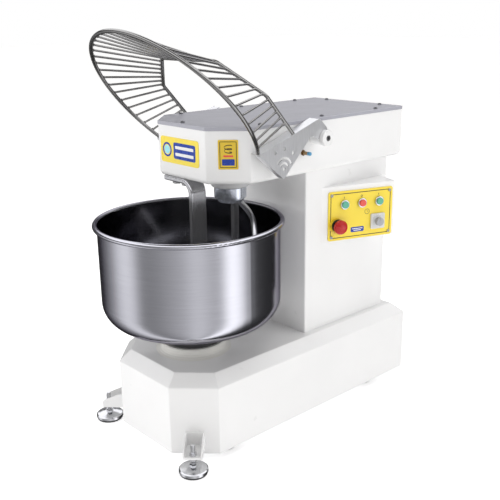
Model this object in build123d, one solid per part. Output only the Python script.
from build123d import *
import math
import os

# Floor-standing spiral dough mixer, 55-litre bowl. Millimetres, +Z up, floor at z = 0.
# The operator stands at -Y; the control box is on the +X side.
# Shapes are drawn about the vertical axis of the bowl, then moved so that the
# bottom centre of the whole machine's bounding box is the origin.

# ---- base casing
BASE_HALF_W = 220.0
BASE_FRONT = -186.0
BASE_REAR = 740.0
BASE_CHAMFER = 98.0
BASE_Z0 = 24.0
BASE_SHOULDER_Z = 226.0
BASE_TOP = 258.0
BASE_BEVEL = 34.0
SHEET = 3.0
BASE_HOLE_R = 60.0
CHASSIS_Z = 104.0
CHASSIS_T = 6.0

# ---- column
COL_HALF_W = 168.0
COL_FRONT = 304.0
COL_REAR = 679.0
DOOR_HALF_W = 130.0
DOOR_Z = (320.0, 720.0)
WIRE_HOLE_Y = (400.0, 632.0)
WIRE_HOLE_Z = (550.0, 695.0)
COVER_HALF_W = 145.0
COVER_Z = (300.0, 740.0)
COVER_T = 2.5
COVER_SCREWS = [(x, z) for x in (-136, 136) for z in (312, 520, 728)]
LOUVRE_ROWS = 10
LOUVRE_X = (-60.0, 60.0)
LOUVRE_Z0 = 400.0
LOUVRE_STEP = 22.0
SCREW_HOLE_R = 2.6
SCREW_R = 2.5

# ---- head and lid
HEAD_HALF_W = 193.0
HEAD_FRONT = -19.0
HEAD_REAR = 721.0
HEAD_CHAMFER = 87.0
HEAD_Z0 = 766.0
LID_TOP = 922.0
LID_T = 3.0
LID_FLANGE = 10.0
LID_LIP = 2.0
LID_SCREWS = [(-175, 118), (175, 118), (-175, 360), (175, 360), (-175, 603), (175, 603),
              (-15, 2), (-115, 698), (115, 698)]
BADGE_X = (-94.0, 77.0)
BADGE_Z = (808.0, 881.0)
LABEL_W = 54.0
LABEL_H = 79.0
LABEL_Z = 849.0
PLATE_LABEL_T = 1.5

# ---- bowl and its drive
BOWL_R = 260.5
BOWL_WALL = 2.5
BOWL_CORNER_R = 72.0
BOWL_BOTTOM = 350.0
RIM_TOP = 653.0
BEAD_R = 7.5
BEAD_CENTRE_R = 265.5
PEDESTAL_R = 98.0
PEDESTAL_TOP = 286.0
BOWL_FLANGE_R = 90.0
BOWL_SHAFT_R = 25.0
CHAIN_Z = 231.0
BOWL_SPROCKET_R = 95.0
DRIVE_SPROCKET_R = 45.0
GEARMOTOR_Y = 390.0

# ---- spiral and its drive
SPIRAL_Y = 157.0
SPIRAL_SHAFT_R = 20.0
HUB_R = 48.0
HUB_TOP = 721.5
HUB_BOTTOM = 690.0
HOUSING_R = 56.0
HOUSING_BOTTOM = 723.0
STEM_R = 12.0
STEM_OFFSET = (8.0, 9.0)
ROD_R = 9.0
HELIX_R = 60.0
HELIX_R_LOW = 76.0
HELIX_START = 64.0
HELIX_TURN = -280.0
HELIX_TOP = 678.0
HELIX_BOTTOM = 374.0
SPIRAL_PULLEY_R = 150.0
MOTOR_PULLEY_R = 50.0
MOTOR_Y = 500.0
PULLEY_Z0 = 832.0
PULLEY_Z1 = 872.0
BELT_Z = (839.0, 852.0, 865.0)

# ---- breaker bar
BAR_T = 16.0
BAR_W = 54.0
BAR_X = 10.0
BAR_Y = 19.0
BAR_LEFT = -100.0
BAR_BOTTOM = 378.0
BAR_BEND_R = 28.0
BAR_BOLTS_X = (-75.0, -32.0)
BAR_BOLT_R = 8.0

# ---- wire guard; the rest position is raised by GUARD_RAISE about the pivot
PIVOT_Y = 314.0
PIVOT_Z = 870.0
GUARD_RAISE = 48.0
RING_R = 270.0
RING_TUBE_R = 5.5
RING_AHEAD = 310.0
RING_BELOW = 194.0
INNER_BELOW = 74.0
INNER_TUBE_R = 5.0
INNER_HALF_W = 225.0
INNER_FRONT_HALF = 117.0
INNER_FRONT_S = -54.0
INNER_CORNER_S = 63.0
INNER_END_S = 222.0
ROD_COUNT_PER_SIDE = 17
ROD_STEP_DEG = 7.0
ROD_INNER_STEP = 22.3
GUARD_ROD_R = 3.0
PLATE_X = 228.0
PLATE_T = 3.0
PIN_R = 8.0
RUNNING_FIT = 0.05
SENSOR_Y = 266.0
SENSOR_Z = 829.0
SENSOR_R = 5.0
PLATE_OUTLINE = [(-156, -201), (-57, 22), (-16, 25), (15, 10), (15, -8), (-2, -13), (-46, -32), (-38, -184)]
FOLD_FRONT = 32.0
FOLD_BOTTOM = 16.0
FOLD_T = 2.0
ARC_CENTRE = (-58.0, -164.0)
PLATE_HOLES = [(-116, -157), (-98, -126), (-65, -112)]
BOSS_R = 21.0

# ---- control box on the right of the column
BOX_Y0 = 373.0
BOX_Y1 = 613.0
BOX_DEPTH = 88.0
BOX_APEX_Y = 645.0
BOX_Z0 = 534.0
BOX_Z1 = 706.0
PANEL_W = 223.0
PANEL_H = 153.0
PANEL_T = 3.0
PANEL_S = 133.0
PANEL_Z = 614.0
BUTTON_S = (76.0, 136.0, 196.0)
BUTTON_Z = 649.0
BEZEL_R = 15.0
CAP_R = 11.0
ESTOP_S = 54.0
ESTOP_Z = 584.0
TIMER_S = 192.0
TIMER_Z = 586.0
TIMER_SIDE = 48.0
TIMER_BARREL = 41.6
BARREL_R = 11.4
DEVICE_HOLE_R = 11.5
PANEL_SCREWS = [(sx * (PANEL_W / 2 - 11), sy * (PANEL_H / 2 - 11)) for sx in (-1, 1) for sy in (-1, 1)]
FACE_LENGTH = math.hypot(BOX_DEPTH, BOX_Y1 - BOX_Y0)
ALONG = (BOX_DEPTH / FACE_LENGTH, (BOX_Y1 - BOX_Y0) / FACE_LENGTH, 0)
OUTWARD = (ALONG[1], -ALONG[0], 0)

# ---- feet and casters
FOOT_REACH = 58.0
FOOT_DISC_R = 41.0
BRACKET_Z = 48.0
BRACKET_W = 54.0
BRACKET_PAST = 14.0
STUD_R = 6.0
NUT_R = 10.5
WHEEL_R = 37.5
WHEEL_W = 25.0
WHEEL_X = 182.0
WHEEL_Y = (-25.0, 585.0)
AXLE_R = 6.0

ROOT2 = math.sqrt(2.0)
INSET_CHAMFER = 2.0 - ROOT2
Y_SHIFT = -233.5


def save(name, *solids):
    """Write one node, moved from the bowl-axis frame to the machine's frame."""
    moved = [Pos(0, Y_SHIFT, 0) * s for s in solids]
    shape = moved[0] if len(moved) == 1 else Compound(children=moved)
    export_step(shape, "parts/" + name + ".step")


def prism(points, z0, z1):
    """Vertical prism over a closed outline."""
    face = make_face(Polyline(*points, close=True))
    return Pos(0, 0, z0) * extrude(face, amount=z1 - z0, dir=(0, 0, 1))


def ring_solid(r_out, r_in, z0, z1):
    """Tube about the Z axis."""
    tube = Cylinder(r_out, z1 - z0) - Cylinder(r_in, z1 - z0 + 2)
    return Pos(0, 0, (z0 + z1) / 2) * tube


def disc(r, z0, z1):
    """Cylinder about the Z axis between two heights."""
    return Pos(0, 0, (z0 + z1) / 2) * Cylinder(r, z1 - z0)


def turned(points):
    """Solid of revolution about Z from (radius, z) points."""
    outline = [(r, 0, z) for r, z in points]
    face = make_face(Polyline(*outline, close=True))
    return revolve(face, axis=Axis.Z, revolution_arc=360)


def nosed_outline(half_w, front, rear, chamfer, inset=0.0):
    """Rectangle with both front corners cut at 45 degrees, drawn inward by inset."""
    w = half_w - inset
    f = front + inset
    r = rear - inset
    c = chamfer - INSET_CHAMFER * inset
    return [(-w, r), (-w, f + c), (-w + c, f), (w - c, f), (w, f + c), (w, r)]


def box_between(x0, x1, y0, y1, z0, z1):
    """Axis-aligned box from its limits."""
    block = Box(x1 - x0, y1 - y0, z1 - z0)
    return Pos((x0 + x1) / 2, (y0 + y1) / 2, (z0 + z1) / 2) * block


def mirrored(shape):
    """Copy on the other side of the machine's middle plane."""
    return mirror(shape, about=Plane.YZ)


def rod_between(a, b, r):
    """Straight round bar between two points."""
    start = Vector(*a)
    way = Vector(*b) - start
    plane = Plane(origin=start, z_dir=way)
    return extrude(plane * Circle(r), amount=way.length, dir=way.normalized())


def cap_screw(r_head, h_head, r_stem, length):
    """Dome-headed screw with a hexagon socket; the head sits on z = 0."""
    head = Pos(0, 0, h_head / 2) * Cylinder(r_head, h_head)
    head = fillet(head.edges().group_by(Axis.Z)[-1], h_head * 0.6)
    socket = extrude(RegularPolygon(r_head * 0.45, 6), amount=h_head)
    head = head - Pos(0, 0, h_head * 0.45) * socket
    return head + Pos(0, 0, -length / 2) * Cylinder(r_stem, length)


def hex_bolt(r_head, h_head, r_stem, length):
    """Hexagon bolt; the head sits on z = 0 and the stem runs down."""
    head = extrude(RegularPolygon(r_head, 6), amount=h_head)
    return head + Pos(0, 0, -length / 2) * Cylinder(r_stem, length)


# ---------------------------------------------------------------- base
def base_shape(inset, z0):
    """Base outline as a full block: straight sides and a bevelled shoulder."""
    foot = nosed_outline(BASE_HALF_W, BASE_FRONT, BASE_REAR, BASE_CHAMFER, inset)
    top = nosed_outline(BASE_HALF_W, BASE_FRONT, BASE_REAR, BASE_CHAMFER, inset + BASE_BEVEL)
    lower = Pos(0, 0, BASE_SHOULDER_Z) * make_face(Polyline(*foot, close=True))
    upper = Pos(0, 0, BASE_TOP - inset) * make_face(Polyline(*top, close=True))
    return prism(foot, z0, BASE_SHOULDER_Z) + loft([lower, upper])


def base_casing():
    """Open-bottomed sheet casing with holes for the bowl drive and the column."""
    outer = base_shape(0.0, BASE_Z0)
    soft = outer.edges().filter_by(lambda e: e.center().Z > BASE_Z0 + 1)
    outer = fillet(soft, 6.0)
    shell = outer - base_shape(SHEET, BASE_Z0 - 1)
    shell = shell - disc(BASE_HOLE_R, BASE_TOP - 20, BASE_TOP + 5)
    well = box_between(-120, 120, COL_FRONT + 40, COL_REAR - 60, BASE_TOP - 20, BASE_TOP + 5)
    return shell - well


def chassis_plate():
    """Floor of the base that carries casters, bowl bearing and gearmotor."""
    outline = nosed_outline(BASE_HALF_W, BASE_FRONT, BASE_REAR, BASE_CHAMFER, SHEET)
    plate = prism(outline, CHASSIS_Z, CHASSIS_Z + CHASSIS_T)
    return plate - disc(BOWL_SHAFT_R + 5, CHASSIS_Z - 1, CHASSIS_Z + CHASSIS_T + 1)


# ---------------------------------------------------------------- column
def column_casing():
    """Square tube of sheet between base and head, open at the back for service."""
    outer = box_between(-COL_HALF_W, COL_HALF_W, COL_FRONT, COL_REAR, BASE_TOP, HEAD_Z0)
    outer = fillet(outer.edges().filter_by(Axis.Z), 5.0)
    inner_w = COL_HALF_W - SHEET
    inner = box_between(-inner_w, inner_w, COL_FRONT + SHEET, COL_REAR - SHEET,
                        BASE_TOP - 1, HEAD_Z0 + 1)
    door = box_between(-DOOR_HALF_W, DOOR_HALF_W, COL_REAR - 20, COL_REAR + 20, *DOOR_Z)
    wires = box_between(COL_HALF_W - 20, COL_HALF_W + 20, *WIRE_HOLE_Y, *WIRE_HOLE_Z)
    return outer - inner - door - wires


def rear_cover():
    """Removable back plate with rows of cooling louvres."""
    plate = box_between(-COVER_HALF_W, COVER_HALF_W, COL_REAR, COL_REAR + COVER_T, *COVER_Z)
    plate = fillet(plate.edges().filter_by(Axis.Y), 8.0)
    slot = fillet(Box(90, 10, 7).edges().filter_by(Axis.Y), 3.4)
    for row in range(LOUVRE_ROWS):
        for x in LOUVRE_X:
            plate = plate - Pos(x, COL_REAR + 1, LOUVRE_Z0 + row * LOUVRE_STEP) * slot
    for x, z in COVER_SCREWS:
        plate = plate - Pos(x, COL_REAR, z) * Rot(90, 0, 0) * Cylinder(SCREW_HOLE_R, 20)
    return plate


def rear_cover_screws():
    """Six dome screws round the back plate."""
    screw = Rot(-90, 0, 0) * cap_screw(5, 3, SCREW_R, 2.4)
    return [Pos(x, COL_REAR + COVER_T, z) * screw for x, z in COVER_SCREWS]


# ---------------------------------------------------------------- head
def head_casing():
    """Head box with rolled lower edges, open at the top under the lid."""
    outline = nosed_outline(HEAD_HALF_W, HEAD_FRONT, HEAD_REAR, HEAD_CHAMFER, LID_LIP)
    outer = prism(outline, HEAD_Z0, LID_TOP - LID_T)
    outer = fillet(outer.edges().filter_by(Axis.Z), 8.0)
    outer = fillet(outer.edges().group_by(Axis.Z)[0], 14.0)
    inner = prism(nosed_outline(HEAD_HALF_W, HEAD_FRONT, HEAD_REAR, HEAD_CHAMFER, LID_LIP + SHEET),
                  HEAD_Z0 + SHEET, LID_TOP)
    inner = fillet(inner.edges().filter_by(Axis.Z), 5.0)
    inner = fillet(inner.edges().group_by(Axis.Z)[0], 11.0)
    shell = outer - inner
    shell = shell - Pos(0, SPIRAL_Y, 0) * disc(HOUSING_R, HEAD_Z0 - 1, HEAD_Z0 + 10)
    shell = shell - Pos(0, MOTOR_Y, 0) * disc(80, HEAD_Z0 - 1, HEAD_Z0 + 10)
    for x in BAR_BOLTS_X:
        shell = shell - Pos(x, BAR_Y, 0) * disc(BAR_BOLT_R, HEAD_Z0 - 1, HEAD_Z0 + 10)
    for side in (-1, 1):
        hole = Pos(side * HEAD_HALF_W, PIVOT_Y, PIVOT_Z) * Rot(0, 90, 0) * Cylinder(PIN_R, 30)
        shell = shell - hole
    sensor = Pos(HEAD_HALF_W, SENSOR_Y, SENSOR_Z) * Rot(0, 90, 0) * Cylinder(SENSOR_R, 30)
    return shell - sensor


def head_lid():
    """Flat lid with a short flange turned down round the casing."""
    outer = prism(nosed_outline(HEAD_HALF_W, HEAD_FRONT, HEAD_REAR, HEAD_CHAMFER),
                  LID_TOP - LID_FLANGE, LID_TOP)
    outer = fillet(outer.edges().filter_by(Axis.Z), 10.0)
    outer = fillet(outer.edges().group_by(Axis.Z)[-1], 1.5)
    inner = prism(nosed_outline(HEAD_HALF_W, HEAD_FRONT, HEAD_REAR, HEAD_CHAMFER, LID_LIP),
                  LID_TOP - LID_FLANGE - 1, LID_TOP - LID_T)
    inner = fillet(inner.edges().filter_by(Axis.Z), 8.0)
    lid = outer - inner
    for x, y in LID_SCREWS:
        lid = lid - Pos(x, y, 0) * disc(SCREW_HOLE_R, LID_TOP - 5, LID_TOP + 1)
    return lid


def lid_screws():
    """Dome screws through the lid."""
    return [Pos(x, y, LID_TOP) * cap_screw(6, 4, SCREW_R, LID_T) for x, y in LID_SCREWS]


def front_badge():
    """Plain plate with a raised border on the front of the head."""
    y = HEAD_FRONT + LID_LIP
    plate = box_between(*BADGE_X, y - PLATE_LABEL_T, y, *BADGE_Z)
    plate = fillet(plate.edges().filter_by(Axis.Y), 8.0)
    pocket = box_between(BADGE_X[0] + 4, BADGE_X[1] - 4, y - 2, y - 1, BADGE_Z[0] + 4, BADGE_Z[1] - 4)
    return plate - fillet(pocket.edges().filter_by(Axis.Y), 5.0)


def nose_plane(half_w, front, chamfer, side=1):
    """Plane on the middle of a 45-degree front corner; x along it, z outward."""
    mid = (side * (half_w - chamfer / 2), front + chamfer / 2, 0)
    return Plane(origin=mid, x_dir=(1, side, 0), z_dir=(side, -1, 0))


def label_plate():
    """Plain plate on the right front corner of the head."""
    cut = HEAD_CHAMFER - INSET_CHAMFER * LID_LIP
    plane = nose_plane(HEAD_HALF_W - LID_LIP, HEAD_FRONT + LID_LIP, cut)
    plate = Pos(0, LABEL_Z, PLATE_LABEL_T / 2) * Box(LABEL_W, LABEL_H, PLATE_LABEL_T)
    plate = fillet(plate.edges().filter_by(Axis.Z), 3.0)
    pocket = Pos(0, LABEL_Z, PLATE_LABEL_T) * Box(LABEL_W - 5, LABEL_H - 5, 1.0)
    return plane * (plate - pocket)


def breaker_bar():
    """Flat bar bolted under the head and bent down into the bowl."""
    y0 = BAR_Y - BAR_W / 2
    y1 = BAR_Y + BAR_W / 2
    top = HEAD_Z0
    knee_x = BAR_X - BAR_BEND_R
    knee_z = top - BAR_T - BAR_BEND_R
    flat = box_between(BAR_LEFT, knee_x, y0, y1, top - BAR_T, top)
    leg = box_between(BAR_X, BAR_X + BAR_T, y0, y1, BAR_BOTTOM, knee_z)
    ring = Rot(90, 0, 0) * (Cylinder(BAR_BEND_R + BAR_T, BAR_W) - Cylinder(BAR_BEND_R, BAR_W + 2))
    ring = Pos(knee_x, BAR_Y, knee_z) * ring
    reach = BAR_BEND_R + BAR_T
    bend = ring & box_between(knee_x, knee_x + reach + 1, y0, y1, knee_z, knee_z + reach + 1)
    bar = flat + bend + leg
    low = bar.edges().filter_by(Axis.X).group_by(Axis.Z)[0]
    bar = fillet(low, 22.0)
    upright = bar.edges().filter_by(Axis.Z).filter_by(lambda e: e.length > 100)
    bar = fillet(upright, 5.0)
    for x in BAR_BOLTS_X:
        bar = bar - Pos(x, BAR_Y, 0) * disc(BAR_BOLT_R, top - BAR_T - 1, top + 1)
    return bar


def breaker_bolts():
    """Two hexagon bolts that hold the breaker bar up against the head."""
    bolts = []
    for x in BAR_BOLTS_X:
        place = Pos(x, BAR_Y, HEAD_Z0 - BAR_T) * Rot(180, 0, 0)
        bolts.append(place * hex_bolt(13, 10, BAR_BOLT_R, BAR_T + 14))
    return bolts


# ---------------------------------------------------------------- spiral
def spiral_housing():
    """Bearing housing that hangs through the floor of the head."""
    z = HEAD_Z0 + SHEET
    body = turned([(40, HOUSING_BOTTOM + 12), (40, 814), (55, 814), (55, z + 12), (90, z + 12),
                   (90, z), (HOUSING_R, z), (HOUSING_R, HOUSING_BOTTOM + 2),
                   (HOUSING_R - 2, HOUSING_BOTTOM), (30, HOUSING_BOTTOM), (30, HOUSING_BOTTOM + 12)])
    return Pos(0, SPIRAL_Y, 0) * body


def spiral_bearings():
    """Two ball-bearing rings in the housing."""
    bore = SPIRAL_SHAFT_R + RUNNING_FIT
    low = ring_solid(40, bore, HOUSING_BOTTOM + 14, HOUSING_BOTTOM + 32)
    high = ring_solid(40, bore, 792, 810)
    return [Pos(0, SPIRAL_Y, 0) * low, Pos(0, SPIRAL_Y, 0) * high]


def spiral_shaft():
    """Drive shaft from the hub up to the pulley."""
    shaft = disc(SPIRAL_SHAFT_R, HUB_TOP, 880)
    return Pos(0, SPIRAL_Y, 0) * chamfer(shaft.edges().group_by(Axis.Z)[-1], 1.5)


def spiral_hub():
    """Chromed skirt that turns under the housing."""
    body = turned([(0, HUB_BOTTOM - 14), (36, HUB_BOTTOM - 14), (43, HUB_BOTTOM - 4),
                   (43, HUB_BOTTOM), (HUB_R - 1, HUB_BOTTOM), (HUB_R, HUB_BOTTOM + 1),
                   (HUB_R, HUB_TOP - 1), (HUB_R - 1, HUB_TOP), (0, HUB_TOP)])
    return Pos(0, SPIRAL_Y, 0) * body


def helix_point(t):
    """Centre line of the spiral rod from the hub (t = 0) to the foot (t = 1)."""
    z = HELIX_TOP + (HELIX_BOTTOM - HELIX_TOP) * t
    angle = math.radians(HELIX_START + HELIX_TURN * t ** 2.5)
    wide = HELIX_R + (HELIX_R_LOW - HELIX_R) * min(1.0, t / 0.5)
    out = math.sin(min(1.0, t / 0.22) * math.pi / 2)
    back = math.sin(min(1.0, (1.0 - t) / 0.16) * math.pi / 2)
    near_hub = 22.0 + (wide - 22.0) * out
    r = 14.0 + (near_hub - 14.0) * back
    return (r * math.cos(angle), r * math.sin(angle), z)


def spiral_hook():
    """Kneading tool: a straight stem and a rod wound round it."""
    centre = [helix_point(k / 28) for k in range(29)]
    path = Spline(*centre)
    start = Plane(origin=path @ 0, z_dir=path % 0)
    rod = sweep(start * Circle(ROD_R), path=path)
    stem = Pos(STEM_OFFSET[0], STEM_OFFSET[1], 0) * disc(STEM_R, HELIX_BOTTOM - 8, HUB_BOTTOM - 14)
    foot = Pos(STEM_OFFSET[0], STEM_OFFSET[1], 0) * disc(STEM_R + 4, HELIX_BOTTOM - 10, HELIX_BOTTOM + 10)
    foot = fillet(foot.edges(), 5.0)
    hook = rod + stem + foot
    hook = hook - disc(HUB_R + 40, HUB_BOTTOM - 14, HUB_BOTTOM + 40)
    return Pos(0, SPIRAL_Y, 0) * hook


def grooved_pulley(r, bore, solid_core):
    """V-belt pulley with one groove for each belt height."""
    outline = [(bore, PULLEY_Z0), (r, PULLEY_Z0)]
    for z in BELT_Z:
        outline += [(r, z - 5.5), (r - 11, z - 3.5), (r - 11, z + 3.5), (r, z + 5.5)]
    outline += [(r, PULLEY_Z1), (bore, PULLEY_Z1)]
    pulley = turned(outline)
    if solid_core:
        return pulley
    for top in (PULLEY_Z0 + 6, PULLEY_Z1 - 6):
        z0, z1 = (PULLEY_Z0 - 1, top) if top < BELT_Z[1] else (top, PULLEY_Z1 + 1)
        pulley = pulley - ring_solid(r - 24, 45, z0, z1)
    for k in range(5):
        window = Rot(0, 0, 72 * k) * Pos(85, 0, BELT_Z[1]) * Cylinder(22, 60)
        pulley = pulley - window
    return pulley


def belt_loop(r1, y1, r2, y2, z0, z1):
    """Filled loop shape round two wheels on the middle plane."""
    gap = y2 - y1
    lean = math.asin((r1 - r2) / gap)
    c, s = math.cos(lean), math.sin(lean)
    quad = [(r1 * c, y1 + r1 * s), (r2 * c, y2 + r2 * s), (-r2 * c, y2 + r2 * s), (-r1 * c, y1 + r1 * s)]
    body = prism(quad, z0, z1)
    body = body + Pos(0, y1, 0) * disc(r1, z0, z1)
    return body + Pos(0, y2, 0) * disc(r2, z0, z1)


def loop_band(r1, y1, r2, y2, thick, z0, z1):
    """Endless band of constant thickness round two wheels."""
    outer = belt_loop(r1 + thick, y1, r2 + thick, y2, z0, z1)
    return outer - belt_loop(r1, y1, r2, y2, z0 - 1, z1 + 1)


def spiral_belts():
    """Three endless belts in the pulley grooves."""
    belts = []
    for z in BELT_Z:
        belts.append(loop_band(SPIRAL_PULLEY_R - 10.5, SPIRAL_Y, MOTOR_PULLEY_R - 10.5, MOTOR_Y,
                               9.0, z - 3.0, z + 3.0))
    return belts


def motor_pulley():
    """Small pulley with the motor's own shaft."""
    shaft = disc(14, 690, 878)
    return Pos(0, MOTOR_Y, 0) * (shaft + grooved_pulley(MOTOR_PULLEY_R, 14, True))


def spiral_motor():
    """Finned motor hung under the head, inside the column."""
    body = disc(95, 478, 728)
    for k in range(24):
        body = body + Rot(0, 0, 15 * k) * Pos(98, 0, 598) * Box(14, 4, 200)
    body = body + disc(85, 458, 478)
    plate = fillet((Pos(0, 0, 759) * Box(250, 250, 14)).edges().filter_by(Axis.Z), 20.0)
    body = body + disc(80, 728, 752) + plate
    terminal = Pos(0, 112, 628) * Box(90, 50, 90)
    body = body + terminal
    return Pos(0, MOTOR_Y, 0) * (body - disc(14 + RUNNING_FIT, 685, 790))


# ---------------------------------------------------------------- bowl
def bowl():
    """Stainless bowl with a rounded corner and a rolled bead at the rim."""
    corner_r = BOWL_R - BOWL_CORNER_R
    corner_z = BOWL_BOTTOM + BOWL_CORNER_R
    wall = BOWL_WALL
    bead_z = RIM_TOP - BEAD_R
    with BuildSketch(Plane.XZ) as section:
        with BuildLine():
            Line((0, BOWL_BOTTOM), (corner_r, BOWL_BOTTOM))
            CenterArc((corner_r, corner_z), BOWL_CORNER_R, 270, 90)
            Line((BOWL_R, corner_z), (BOWL_R, bead_z))
            Line((BOWL_R, bead_z), (BOWL_R - wall, bead_z))
            Line((BOWL_R - wall, bead_z), (BOWL_R - wall, corner_z))
            CenterArc((corner_r, corner_z), BOWL_CORNER_R - wall, 0, -90)
            Line((corner_r, BOWL_BOTTOM + wall), (0, BOWL_BOTTOM + wall))
            Line((0, BOWL_BOTTOM + wall), (0, BOWL_BOTTOM))
        make_face()
    shell = revolve(section.sketch, axis=Axis.Z, revolution_arc=360)
    bead = Pos(0, 0, bead_z) * Torus(BEAD_CENTRE_R, BEAD_R)
    return shell + bead


def bowl_flange():
    """Black turned seat bolted under the bowl."""
    top = PEDESTAL_TOP + 22
    low = PEDESTAL_TOP + 1
    r = BOWL_FLANGE_R
    seat = turned([(0, BOWL_BOTTOM), (120, BOWL_BOTTOM), (116, BOWL_BOTTOM - 10),
                   (60, BOWL_BOTTOM - 20), (60, top), (r - 2, top), (r, top - 2), (r, low + 2),
                   (r - 2, low), (0, low)])
    for k in range(8):
        seat = seat - Rot(0, 0, 45 * k + 15) * Pos(75, 0, 0) * disc(5, top - 16, top + 1)
    return seat


def bowl_flange_bolts():
    """Eight cap screws round the seat under the bowl."""
    bolts = []
    for k in range(8):
        place = Rot(0, 0, 45 * k + 15) * Pos(75, 0, PEDESTAL_TOP + 22)
        bolts.append(place * hex_bolt(8, 7, 5, 15))
    return bolts


def bowl_shaft():
    """Vertical shaft under the bowl seat."""
    return disc(BOWL_SHAFT_R, 90, PEDESTAL_TOP + 1)


def toothed_wheel(r, bore, teeth):
    """Flat chain wheel."""
    wheel = ring_solid(r, bore, CHAIN_Z - 3, CHAIN_Z + 3)
    tooth = Pos(r + 1, 0, CHAIN_Z) * Box(7, math.pi * r / teeth, 6)
    for k in range(teeth):
        wheel = wheel + Rot(0, 0, 360 * k / teeth) * tooth
    return wheel


def bowl_sprocket():
    """Large chain wheel on the bowl shaft, with a hub and lightening holes."""
    wheel = toothed_wheel(BOWL_SPROCKET_R, BOWL_SHAFT_R, 36)
    wheel = wheel + ring_solid(42, BOWL_SHAFT_R, CHAIN_Z + 3, CHAIN_Z + 15)
    for k in range(6):
        wheel = wheel - Rot(0, 0, 60 * k) * Pos(67, 0, CHAIN_Z) * Cylinder(14, 20)
    return wheel


def drive_sprocket():
    """Small chain wheel with the gearmotor's output shaft."""
    wheel = toothed_wheel(DRIVE_SPROCKET_R, 15, 17)
    shaft = disc(15, 190, CHAIN_Z + 12)
    return Pos(0, GEARMOTOR_Y, 0) * (wheel + shaft)


def bowl_chain():
    """Endless chain round both chain wheels."""
    return loop_band(BOWL_SPROCKET_R + 5.5, 0, DRIVE_SPROCKET_R + 5.5, GEARMOTOR_Y, 6.0,
                     CHAIN_Z - 6, CHAIN_Z + 6)


def bowl_gearmotor():
    """Gearbox on the chassis with its motor lying toward the rear."""
    z0 = CHASSIS_Z + CHASSIS_T
    case = box_between(-85, 85, GEARMOTOR_Y - 80, GEARMOTOR_Y + 80, z0, 208)
    case = fillet(case.edges().filter_by(Axis.Z), 14.0)
    case = case + Pos(0, GEARMOTOR_Y, 0) * disc(40, 208, 216)
    motor = Pos(0, GEARMOTOR_Y + 80 + 95, z0 + 58) * Rot(90, 0, 0) * Cylinder(55, 190)
    case = case + motor
    for k in range(16):
        angle = math.radians(22.5 * k)
        fin = Box(3, 150, 12)
        place = Pos(57 * math.sin(angle), GEARMOTOR_Y + 180, z0 + 58 + 57 * math.cos(angle) * 0.98)
        if abs(math.cos(angle)) < 0.8:
            case = case + place * Rot(0, 22.5 * k, 0) * fin
    return case - Pos(0, GEARMOTOR_Y, 0) * disc(15 + RUNNING_FIT, 185, 220)


def bowl_bearing():
    """Bearing pillar that carries the bowl shaft."""
    z0 = CHASSIS_Z + CHASSIS_T
    bore = BOWL_SHAFT_R + RUNNING_FIT
    return turned([(bore, z0), (85, z0), (85, z0 + 12), (50, z0 + 24), (46, CHAIN_Z - 8),
                   (bore, CHAIN_Z - 8)])


def pedestal_ring():
    """Raised ring on the base that the bowl seat turns above."""
    r = PEDESTAL_R
    return turned([(60, BASE_TOP), (r + 14, BASE_TOP), (r + 7, BASE_TOP + 2), (r + 2, BASE_TOP + 6),
                   (r, BASE_TOP + 13), (r, PEDESTAL_TOP - 3), (r - 3, PEDESTAL_TOP), (60, PEDESTAL_TOP)])


# ---------------------------------------------------------------- wire guard
def raised(shape):
    """Turn a guard piece from the closed position to the raised rest position."""
    swing = Pos(0, PIVOT_Y, PIVOT_Z) * Rot(-GUARD_RAISE, 0, 0) * Pos(0, -PIVOT_Y, -PIVOT_Z)
    return swing * shape


def ring_centre():
    """Centre of the outer guard ring when the guard is closed."""
    return (0.0, PIVOT_Y - RING_AHEAD, PIVOT_Z - RING_BELOW)


def behind_plates():
    """Block behind the front folds of the side plates; the ring ends are trimmed to it."""
    low, high = PLATE_OUTLINE[0], PLATE_OUTLINE[1]
    way = Vector(0, high[0] - low[0], high[1] - low[1])
    plane = Plane(origin=(0, PIVOT_Y + low[0], PIVOT_Z + low[1]), x_dir=(1, 0, 0),
                  z_dir=way.cross(Vector(1, 0, 0)))
    return plane * Pos(0, 0, 50) * Box(700, 700, 100)


def guard_outer_ring():
    """Round tube bent to an arc that ends at the side plates."""
    end = math.degrees(math.asin((PLATE_X - FOLD_FRONT / 2) / RING_R))
    cx, cy, cz = ring_centre()
    arc = CenterArc((cx, cy), RING_R, 180 - (90 - end), 180 + 2 * (90 - end))
    arc = Pos(0, 0, cz) * arc
    start = Plane(origin=arc @ 0, z_dir=arc % 0)
    return raised(sweep(start * Circle(RING_TUBE_R), path=arc) - behind_plates())


def inner_ring_points():
    """Corners of the inner guard ring, closed position, from -X to +X."""
    cy = ring_centre()[1]
    z = PIVOT_Z - INNER_BELOW
    half = [(INNER_FRONT_HALF, cy + INNER_FRONT_S, z), (INNER_HALF_W, cy + INNER_CORNER_S, z),
            (INNER_HALF_W, cy + INNER_END_S, z)]
    left = [(-x, y, zz) for x, y, zz in reversed(half)]
    return left + half


def guard_inner_ring():
    """Tube with four bends that passes round the front of the head."""
    pts = inner_ring_points()
    path = FilletPolyline(*pts, radius=25)
    start = Plane(origin=path @ 0, z_dir=path % 0)
    return raised(sweep(start * Circle(INNER_TUBE_R), path=path) - behind_plates())


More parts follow.
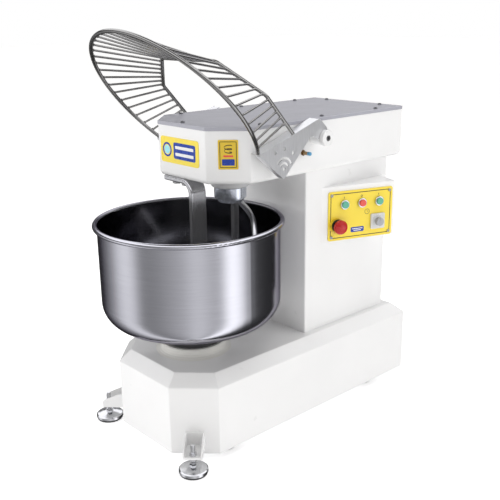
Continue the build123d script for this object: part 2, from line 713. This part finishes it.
def inner_point(distance):
    """Point on the inner ring at a signed distance from its middle."""
    cy = ring_centre()[1]
    z = PIVOT_Z - INNER_BELOW
    side = 1 if distance >= 0 else -1
    d = abs(distance)
    slant = math.hypot(INNER_HALF_W - INNER_FRONT_HALF, INNER_CORNER_S - INNER_FRONT_S)
    if d <= INNER_FRONT_HALF:
        x, s = d, INNER_FRONT_S
    elif d <= INNER_FRONT_HALF + slant:
        part = (d - INNER_FRONT_HALF) / slant
        x = INNER_FRONT_HALF + part * (INNER_HALF_W - INNER_FRONT_HALF)
        s = INNER_FRONT_S + part * (INNER_CORNER_S - INNER_FRONT_S)
    else:
        x = INNER_HALF_W
        s = INNER_CORNER_S + d - INNER_FRONT_HALF - slant
    return (side * x, cy + s, z)


def guard_rods():
    """Straight wires from the outer ring to the inner ring."""
    cy, cz = ring_centre()[1:]
    rings = [guard_outer_ring(), guard_inner_ring()]
    rods = []
    for k in range(-ROD_COUNT_PER_SIDE, ROD_COUNT_PER_SIDE + 1):
        angle = math.radians(ROD_STEP_DEG * k)
        outer = Vector(RING_R * math.sin(angle), cy - RING_R * math.cos(angle), cz)
        inner = Vector(*inner_point(ROD_INNER_STEP * k))
        way = (inner - outer).normalized()
        a = outer + way * (RING_TUBE_R - 0.6)
        b = inner - way * (INNER_TUBE_R - 0.6)
        rods.append(raised(rod_between(tuple(a), tuple(b), GUARD_ROD_R)) - rings)
    return rods


def guard_plate(side):
    """Sheet side plate with folded edges, slots and the pivot hole."""
    outline = [(PIVOT_Y + a, PIVOT_Z + u) for a, u in PLATE_OUTLINE]
    face = make_face(Polyline(*outline, close=True))
    plane = Plane(origin=(PLATE_X, 0, 0), x_dir=(0, 1, 0), z_dir=(1, 0, 0))
    plate = extrude(plane * face, amount=PLATE_T, dir=(1, 0, 0))
    corner = plate.edges().filter_by(Axis.X)
    plate = fillet(corner, 5.0)
    plate = plate + fold(outline[0], outline[1], FOLD_FRONT) + fold(outline[7], outline[0], FOLD_BOTTOM)
    hub = Pos(PLATE_X + PLATE_T / 2, PIVOT_Y, PIVOT_Z) * Rot(0, 90, 0)
    plate = plate + hub * Cylinder(15, PLATE_T)
    plate = plate - hub * Cylinder(PIN_R + RUNNING_FIT, 20)
    low = (PIVOT_Y + ARC_CENTRE[0], PIVOT_Z + ARC_CENTRE[1])
    for r, width in ((16.0, 6.0), (30.0, 7.0)):
        plate = plate - arc_slot(low, r, width)
    for a, u in PLATE_HOLES + [ARC_CENTRE]:
        hole = Pos(PLATE_X, PIVOT_Y + a, PIVOT_Z + u) * Rot(0, 90, 0) * Cylinder(5, 20)
        plate = plate - hole
    plate = raised(plate)
    return plate if side > 0 else mirrored(plate)


def fold(a, b, width):
    """Inward flange along one edge of the side plate."""
    way = Vector(0, b[0] - a[0], b[1] - a[1])
    inward = way.cross(Vector(1, 0, 0)).normalized()
    p = Vector(PLATE_X, a[0], a[1])
    q = Vector(PLATE_X, b[0], b[1])
    run = way.normalized()
    p = p + run * 5
    q = q - run * 5
    inset = Vector(-width, 0, 0)
    edge = Polyline(p, q, q + inset, p + inset, close=True)
    face = make_face(edge)
    return extrude(face, amount=FOLD_T, dir=inward)


def arc_slot(centre, r, width):
    """Arc-shaped cutter through the side plate."""
    band = Cylinder(r + width / 2, 20) - Cylinder(r - width / 2, 22)
    wedge = prism([(0, 0), (-100, -30), (-100, 100), (40, 100)], -12, 12)
    plane = Plane(origin=(PLATE_X, centre[0], centre[1]), x_dir=(0, 1, 0), z_dir=(1, 0, 0))
    return plane * (band & wedge)


def pivot_bosses():
    """Round spacers between the head and the guard's side plates."""
    x0 = HEAD_HALF_W - LID_LIP
    boss = Pos((x0 + PLATE_X - 0.5) / 2, PIVOT_Y, PIVOT_Z) * Rot(0, 90, 0)
    boss = boss * (Cylinder(BOSS_R, PLATE_X - 0.5 - x0) - Cylinder(PIN_R, 60))
    return [boss, mirrored(boss)]


def pivot_pins():
    """Shoulder pins with socket heads on which the guard turns."""
    x0 = HEAD_HALF_W - LID_LIP - SHEET - 12
    x1 = PLATE_X + PLATE_T + 14
    pin = Pos((x0 + x1) / 2, PIVOT_Y, PIVOT_Z) * Rot(0, 90, 0) * Cylinder(PIN_R, x1 - x0)
    socket = Pos(x1, PIVOT_Y, PIVOT_Z) * Rot(0, 90, 0) * extrude(RegularPolygon(4, 6), amount=6, both=True)
    pin = pin - socket
    return [pin, mirrored(pin)]


def pivot_caps():
    """White washers that keep the side plates on their pins."""
    x0 = PLATE_X + PLATE_T + 0.5
    x1 = PLATE_X + PLATE_T + 13
    cap = Cylinder(23, x1 - x0)
    cap = fillet(cap.edges().group_by(Axis.Z)[-1], 3.0)
    cap = cap - Cylinder(PIN_R, 40)
    cap = Pos((x0 + x1) / 2, PIVOT_Y, PIVOT_Z) * Rot(0, 90, 0) * cap
    return [cap, mirrored(cap)]


def guard_sensor():
    """Threaded barrel of the proximity switch that senses the closed guard."""
    x0 = HEAD_HALF_W - LID_LIP
    barrel = Pos(x0, SENSOR_Y, SENSOR_Z) * Rot(0, 90, 0) * (Pos(0, 0, 2) * Cylinder(SENSOR_R, 40))
    nut = Pos(x0, SENSOR_Y, SENSOR_Z) * Rot(0, 90, 0) * extrude(RegularPolygon(8.5, 6), amount=4)
    return barrel + nut - Pos(x0, SENSOR_Y, SENSOR_Z) * Rot(0, 90, 0) * disc(4, 21, 30)


def guard_sensor_tip():
    """Blue sensing face of the switch."""
    tip = disc(4, 21, 22) + disc(5.5, 22, 31)
    tip = fillet(tip.edges().group_by(Axis.Z)[-1], 2.0)
    return Pos(HEAD_HALF_W - LID_LIP, SENSOR_Y, SENSOR_Z) * Rot(0, 90, 0) * tip


# ---------------------------------------------------------------- control box
def face_plane(s, z):
    """Plane on the sloped control face; x runs rearward along it, y up, z outward."""
    origin = (COL_HALF_W + ALONG[0] * s, BOX_Y0 + ALONG[1] * s, z)
    return Plane(origin=origin, x_dir=ALONG, z_dir=OUTWARD)


def control_box():
    """Wedge-shaped sheet box that turns the panel toward the operator."""
    x0 = COL_HALF_W
    outer = prism([(x0, BOX_Y0), (x0 + BOX_DEPTH, BOX_Y1), (x0, BOX_APEX_Y)], BOX_Z0, BOX_Z1)
    near = outer.edges().filter_by(Axis.Z).group_by(Axis.X)[-1]
    outer = fillet(near, 5.0)
    inner = prism([(x0, BOX_Y0 + 14), (x0 + BOX_DEPTH - 5, BOX_Y1 - 4.5), (x0, BOX_APEX_Y - 4)],
                  BOX_Z0 + 2, BOX_Z1 - 2)
    shell = outer - inner
    window = Pos(-4, 0, 0) * Box(190, 118, 30)
    return shell - face_plane(PANEL_S, PANEL_Z) * window


def control_panel():
    """Flat panel plate with holes for the devices."""
    plate = Pos(0, 0, PANEL_T / 2) * Box(PANEL_W, PANEL_H, PANEL_T)
    plate = fillet(plate.edges().filter_by(Axis.Z), 7.0)
    for s in BUTTON_S:
        plate = plate - Pos(s - PANEL_S, BUTTON_Z - PANEL_Z, 0) * Cylinder(DEVICE_HOLE_R, 20)
    plate = plate - Pos(ESTOP_S - PANEL_S, ESTOP_Z - PANEL_Z, 0) * Cylinder(DEVICE_HOLE_R, 20)
    timer_hole = Box(TIMER_BARREL + 0.4, TIMER_BARREL + 0.4, 20)
    plate = plate - Pos(TIMER_S - PANEL_S, TIMER_Z - PANEL_Z, 0) * timer_hole
    for x, y in PANEL_SCREWS:
        plate = plate - Pos(x, y, 0) * Cylinder(SCREW_HOLE_R, 20)
    return face_plane(PANEL_S, PANEL_Z) * plate


def panel_screws():
    """Four corner screws of the panel."""
    plane = face_plane(PANEL_S, PANEL_Z)
    return [plane * (Pos(x, y, PANEL_T) * cap_screw(5, 3, SCREW_R, PANEL_T)) for x, y in PANEL_SCREWS]


def device_plane(s, z):
    """Plane on the outer surface of the panel at a device."""
    return face_plane(s, z).offset(PANEL_T)


def button_bezels():
    """Black bezels with barrels behind the panel for the push buttons."""
    bezels = []
    for s in BUTTON_S:
        body = disc(BEZEL_R, 0, 7) + disc(BARREL_R, -30, 0)
        body = fillet(body.edges().group_by(Axis.Z)[-1], 2.0)
        body = body - disc(CAP_R - 1.5, -26, 8) - disc(CAP_R + 0.4, 1, 8)
        bezels.append(device_plane(s, BUTTON_Z) * body)
    return bezels


def push_button(s):
    """Round push cap with its stem."""
    cap = disc(CAP_R, 4.5, 11)
    cap = fillet(cap.edges().group_by(Axis.Z)[-1], 1.5)
    return device_plane(s, BUTTON_Z) * (cap + disc(CAP_R - 2.5, -14, 4.5))


def estop_base():
    """Collar and barrel of the emergency stop."""
    body = disc(20, 0, 6) + disc(BARREL_R, -40, 0)
    body = fillet(body.edges().group_by(Axis.Z)[-1], 2.0)
    body = body + disc(14, 6, 8)
    return device_plane(ESTOP_S, ESTOP_Z) * (body - disc(9, -36, 20))


def estop_button():
    """Mushroom head with its stem."""
    head = turned([(0, 14), (18, 14), (22, 17), (22, 23), (19, 28), (11, 31), (0, 32)])
    return device_plane(ESTOP_S, ESTOP_Z) * (head + disc(8.6, -20, 14))


def timer_body():
    """Square timer with a rounded front frame."""
    frame = fillet((Pos(0, 0, 3) * Box(TIMER_SIDE, TIMER_SIDE, 6)).edges().filter_by(Axis.Z), 4.0)
    dial = disc(18, 6, 8)
    barrel = Pos(0, 0, -30) * Box(TIMER_BARREL, TIMER_BARREL, 60)
    body = frame + dial + barrel - disc(4.4, -20, 10)
    return device_plane(TIMER_S, TIMER_Z) * body


def timer_knob():
    """Knob with finger grips and a pointer ridge."""
    knob = disc(13, 8.5, 22)
    knob = fillet(knob.edges().group_by(Axis.Z)[-1], 2.0)
    for k in range(12):
        knob = knob - Rot(0, 0, 30 * k + 15) * Pos(14.3, 0, 17) * Cylinder(2.2, 16)
    pointer = Pos(0, 6, 22.4) * Box(2.2, 11, 1.2)
    return device_plane(TIMER_S, TIMER_Z) * (knob + pointer + disc(4, -10, 8.5))


# ---------------------------------------------------------------- feet and casters
def foot_plane(side):
    """Plane on a front corner of the base; x across the bracket, y up, z outward."""
    return nose_plane(BASE_HALF_W, BASE_FRONT, BASE_CHAMFER, side)


def foot_place(side):
    """Vertical axis of a levelling foot."""
    mid_x = side * (BASE_HALF_W - BASE_CHAMFER / 2 + FOOT_REACH / ROOT2)
    mid_y = BASE_FRONT + BASE_CHAMFER / 2 - FOOT_REACH / ROOT2
    return Pos(mid_x, mid_y, 0)


def foot_bracket(side):
    """Folded channel that carries a levelling foot ahead of the base."""
    reach = FOOT_REACH + BRACKET_PAST
    z0 = BRACKET_Z
    web = Pos(0, z0 + 3, reach / 2) * Box(BRACKET_W, 6, reach)
    cheek_outline = [(0, z0), (0, z0 + 45), (24, z0 + 42), (66, z0 + 24), (reach, z0 + 18), (reach, z0)]
    cheek = make_face(Polyline(*[(0, y, d) for d, y in cheek_outline], close=True))
    left = extrude(Pos(-BRACKET_W / 2, 0, 0) * cheek, amount=4, dir=(1, 0, 0))
    right = extrude(Pos(BRACKET_W / 2 - 4, 0, 0) * cheek, amount=4, dir=(1, 0, 0))
    back = Pos(0, z0 + 22, 2) * Box(BRACKET_W, 44, 4)
    body = web + left + right + back
    hole = Pos(0, z0 + 3, FOOT_REACH) * Rot(90, 0, 0) * Cylinder(STUD_R, 20)
    return foot_plane(side) * (body - hole)


def foot_stud(side):
    """Threaded stud with its disc and three nuts."""
    plate = turned([(0, 6), (FOOT_DISC_R - 1, 6), (FOOT_DISC_R, 7), (FOOT_DISC_R, 14),
                    (FOOT_DISC_R - 3, 17), (24, 21), (14, 23), (0, 23)])
    stud = plate + disc(STUD_R, 20, 86)
    for z, height in ((23, 8), (BRACKET_Z - 9, 9), (BRACKET_Z + 6, 9)):
        stud = stud + extrude(Pos(0, 0, z) * RegularPolygon(NUT_R, 6), amount=height)
    return foot_place(side) * stud


def foot_pad(side):
    """Rubber pad under a foot."""
    pad = disc(FOOT_DISC_R - 2, 0, 6)
    pad = fillet(pad.edges().group_by(Axis.Z)[0], 2.0)
    return foot_place(side) * pad


def caster_fork(x, y):
    """Fixed caster frame with its axle."""
    plate = Pos(0, 0, CHASSIS_Z - 2) * Box(60, 80, 4)
    cheek = Pos(0, 0, 64) * Box(3, 44, 76)
    body = plate + Pos(-18, 0, 0) * cheek + Pos(18, 0, 0) * cheek
    axle = Pos(0, 0, WHEEL_R) * Rot(0, 90, 0) * Cylinder(AXLE_R, 46)
    return Pos(x, y, 0) * (body + axle)


def caster_wheel(x, y):
    """Wheel with a rounded tread."""
    wheel = Cylinder(WHEEL_R, WHEEL_W)
    wheel = fillet(wheel.edges(), 3.0)
    wheel = wheel - Cylinder(AXLE_R + RUNNING_FIT, WHEEL_W + 2)
    for end in (-1, 1):
        dish = Pos(0, 0, end * WHEEL_W / 2) * (Cylinder(27, 6) - Cylinder(13, 8))
        wheel = wheel - dish
    return Pos(x, y, WHEEL_R) * Rot(0, 90, 0) * wheel


def both(maker):
    """One solid for each side of the machine."""
    return [maker(-1), maker(1)]


os.makedirs("parts", exist_ok=True)

save("base_casing", base_casing())
save("chassis_plate", chassis_plate())
save("column_casing", column_casing())
save("rear_cover", rear_cover())
save("rear_cover_screws", *rear_cover_screws())
save("head_casing", head_casing())
save("head_lid", head_lid())
save("lid_screws", *lid_screws())
save("front_badge", front_badge())
save("label_plate", label_plate())
save("breaker_bar", breaker_bar())
save("breaker_bolts", *breaker_bolts())

save("spiral_housing", spiral_housing())
save("spiral_bearings", *spiral_bearings())
save("spiral_shaft", spiral_shaft())
save("spiral_hub", spiral_hub())
save("spiral_hook", spiral_hook())
save("spiral_pulley", Pos(0, SPIRAL_Y, 0) * grooved_pulley(SPIRAL_PULLEY_R, SPIRAL_SHAFT_R, False))
save("spiral_belts", *spiral_belts())
save("spiral_motor", spiral_motor())
save("motor_pulley", motor_pulley())

save("bowl", bowl())
save("bowl_flange", bowl_flange())
save("bowl_flange_bolts", *bowl_flange_bolts())
save("bowl_shaft", bowl_shaft())
save("bowl_sprocket", bowl_sprocket())
save("drive_sprocket", drive_sprocket())
save("bowl_chain", bowl_chain())
save("bowl_gearmotor", bowl_gearmotor())
save("bowl_bearing", bowl_bearing())
save("pedestal_ring", pedestal_ring())

save("guard_outer_ring", guard_outer_ring())
save("guard_inner_ring", guard_inner_ring())
save("guard_rods", *guard_rods())
save("guard_plate_right", guard_plate(1))
save("guard_plate_left", guard_plate(-1))
save("pivot_bosses", *pivot_bosses())
save("pivot_pins", *pivot_pins())
save("pivot_caps", *pivot_caps())
save("guard_sensor", guard_sensor())
save("guard_sensor_tip", guard_sensor_tip())

save("control_box", control_box())
save("control_panel", control_panel())
save("panel_screws", *panel_screws())
save("button_bezels", *button_bezels())
save("button_left", push_button(BUTTON_S[0]))
save("button_centre", push_button(BUTTON_S[1]))
save("button_right", push_button(BUTTON_S[2]))
save("estop_base", estop_base())
save("estop_button", estop_button())
save("timer_body", timer_body())
save("timer_knob", timer_knob())

save("foot_brackets", *both(foot_bracket))
save("foot_studs", *both(foot_stud))
save("foot_pads", *both(foot_pad))
save("caster_forks", *[caster_fork(x, y) for y in WHEEL_Y for x in (-WHEEL_X, WHEEL_X)])
save("wheel_front_left", caster_wheel(-WHEEL_X, WHEEL_Y[0]))
save("wheel_front_right", caster_wheel(WHEEL_X, WHEEL_Y[0]))
save("wheel_rear_left", caster_wheel(-WHEEL_X, WHEEL_Y[1]))
save("wheel_rear_right", caster_wheel(WHEEL_X, WHEEL_Y[1]))
